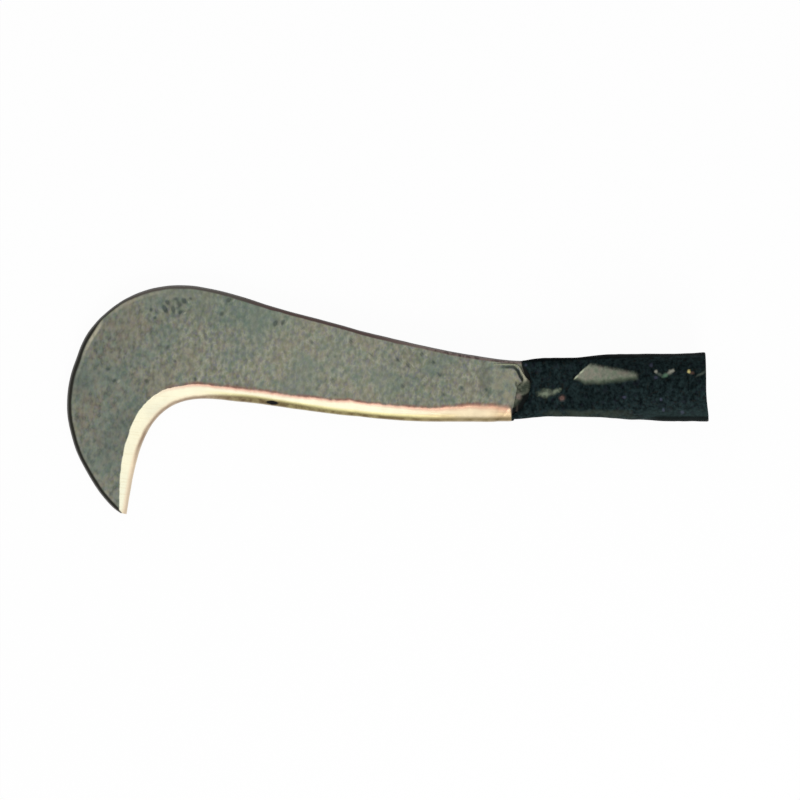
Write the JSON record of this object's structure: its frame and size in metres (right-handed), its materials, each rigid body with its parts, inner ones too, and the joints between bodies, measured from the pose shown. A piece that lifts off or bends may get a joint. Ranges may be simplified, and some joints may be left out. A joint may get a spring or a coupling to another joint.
{
  "type": "billhook head",
  "caption": "Billhook head with a hooked forged blade, a ground cutting bevel and a rolled steel socket that takes a wooden handle.",
  "frame": {"origin": "centre of the socket's mouth, on the axis of the handle's bore", "axes": "+X along the handle out of the mouth, +Y towards the back of the blade, +Z square to the blade's flat face"},
  "size_m": [0.3529, 0.126, 0.038],
  "materials": {
    "forged_steel": "grey-green forge scale with a bright ground bevel",
    "black_socket": "worn satin black paint",
    "rivet_iron": "dull, lightly rusted iron",
    "weld_steel": "rippled weld, part painted over"
  },
  "bodies": {
    "root": {"blade": "forged_steel", "socket": "black_socket", "tang_rivet": "rivet_iron", "lip_weld_front": "weld_steel", "lip_weld_back": "weld_steel"}
  },
  "joints": []
}
